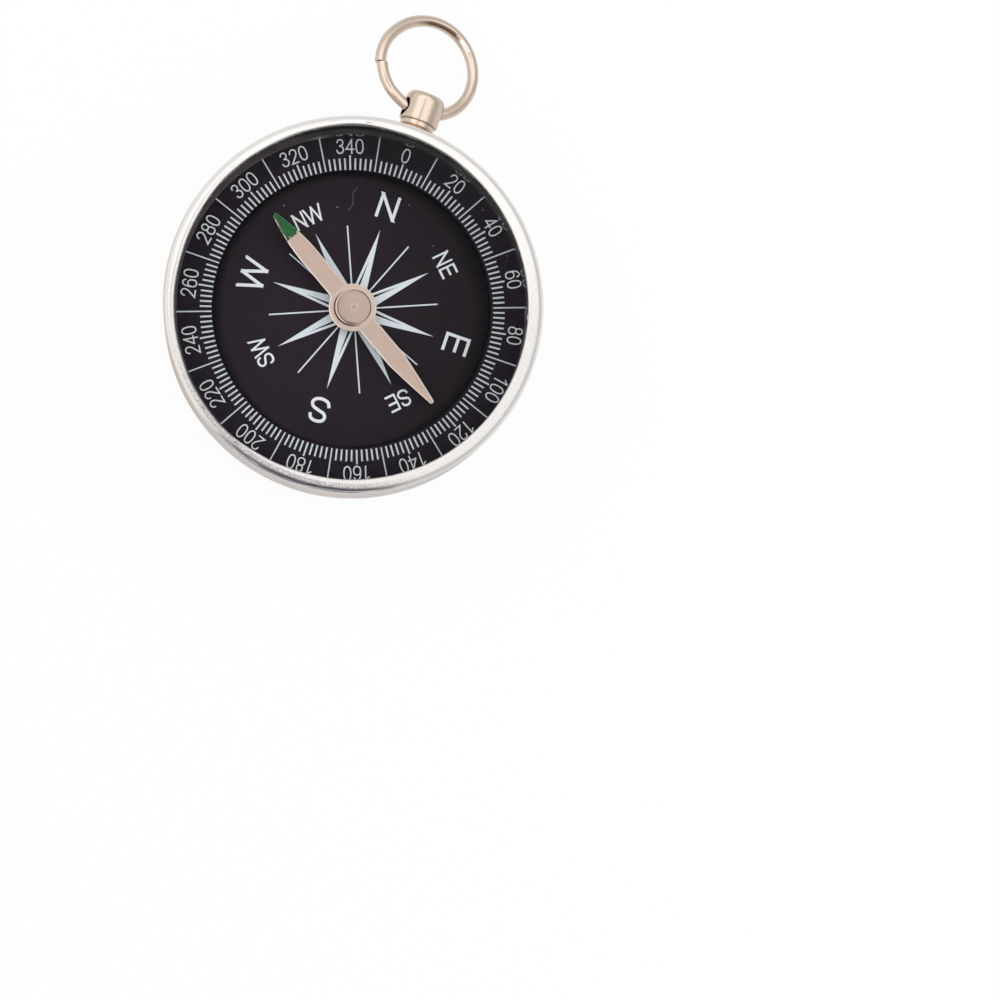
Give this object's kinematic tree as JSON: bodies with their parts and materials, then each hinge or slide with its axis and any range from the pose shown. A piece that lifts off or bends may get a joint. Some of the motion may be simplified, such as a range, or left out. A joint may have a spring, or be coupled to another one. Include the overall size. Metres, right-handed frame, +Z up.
{
  "type": "pocket compass",
  "caption": "Round flat pocket compass: metal case, glass top, sunk dial with a raised degree ring, balanced needle on a point, and a swivelling crown that carries a wire bow ring.",
  "frame": {"origin": "centre of the case's flat back", "axes": "+Z up through the crystal, +Y towards the crown and the zero of the scale, +X towards the scale's 90"},
  "size_m": [0.045, 0.0596, 0.0108],
  "materials": {
    "case_metal": "smooth drawn aluminium, pinkish grey",
    "bezel_metal": "silvery, polished shoulder and a brushed flat beside the crystal",
    "crystal_glass": "flat, clear",
    "seal_rubber": "black",
    "wall_enamel": "glossy black",
    "ring_black": "satin black",
    "white_print": "pale screen-printed ink",
    "dial_black": "matte brown-black",
    "carrier_plastic": "moulded",
    "bush_brass": "turned",
    "pin_steel": "ground to a point",
    "needle_steel": "thinly plated, slightly speckled",
    "north_paint": "dark green paint, worn",
    "cap_metal": "turned, with fine rings",
    "jewel_glass": "polished cup",
    "collar_metal": "turned and plated",
    "crown_metal": "turned and plated",
    "wire_metal": "plated round wire"
  },
  "bodies": {
    "case": {"case_cup": "case_metal", "bezel": "bezel_metal", "crystal": "crystal_glass", "crystal_seal": "seal_rubber", "dial_wall": "wall_enamel", "degree_ring": "ring_black", "degree_scale": "white_print", "dial_plate": "dial_black", "compass_rose": "white_print", "dial_carrier": "carrier_plastic", "pivot_bush": "bush_brass", "pivot_pin": "pin_steel", "pendant_collar": "collar_metal"},
    "needle": {"needle_blade": "needle_steel", "needle_paint": "north_paint", "needle_cap": "cap_metal", "needle_jewel": "jewel_glass"},
    "crown": {"crown": "crown_metal"},
    "bow": {"bow_ring": "wire_metal"}
  },
  "joints": [
    {"name": "needle_spin", "type": "hinge", "parent": "case", "child": "needle", "pos_m": [0, 0.00015, 0.0053], "axis": [0, 0, 1], "continuous": true},
    {"name": "crown_swivel", "type": "hinge", "parent": "case", "child": "crown", "pos_m": [0, 0.025, 0.0052], "axis": [0, 1, 0], "continuous": true},
    {"name": "ring_swing", "type": "hinge", "parent": "crown", "child": "bow", "pos_m": [0, 0.025, 0.0052], "axis": [0.9511, 0, -0.309], "range_deg": [-97.5, 122.5]}
  ]
}
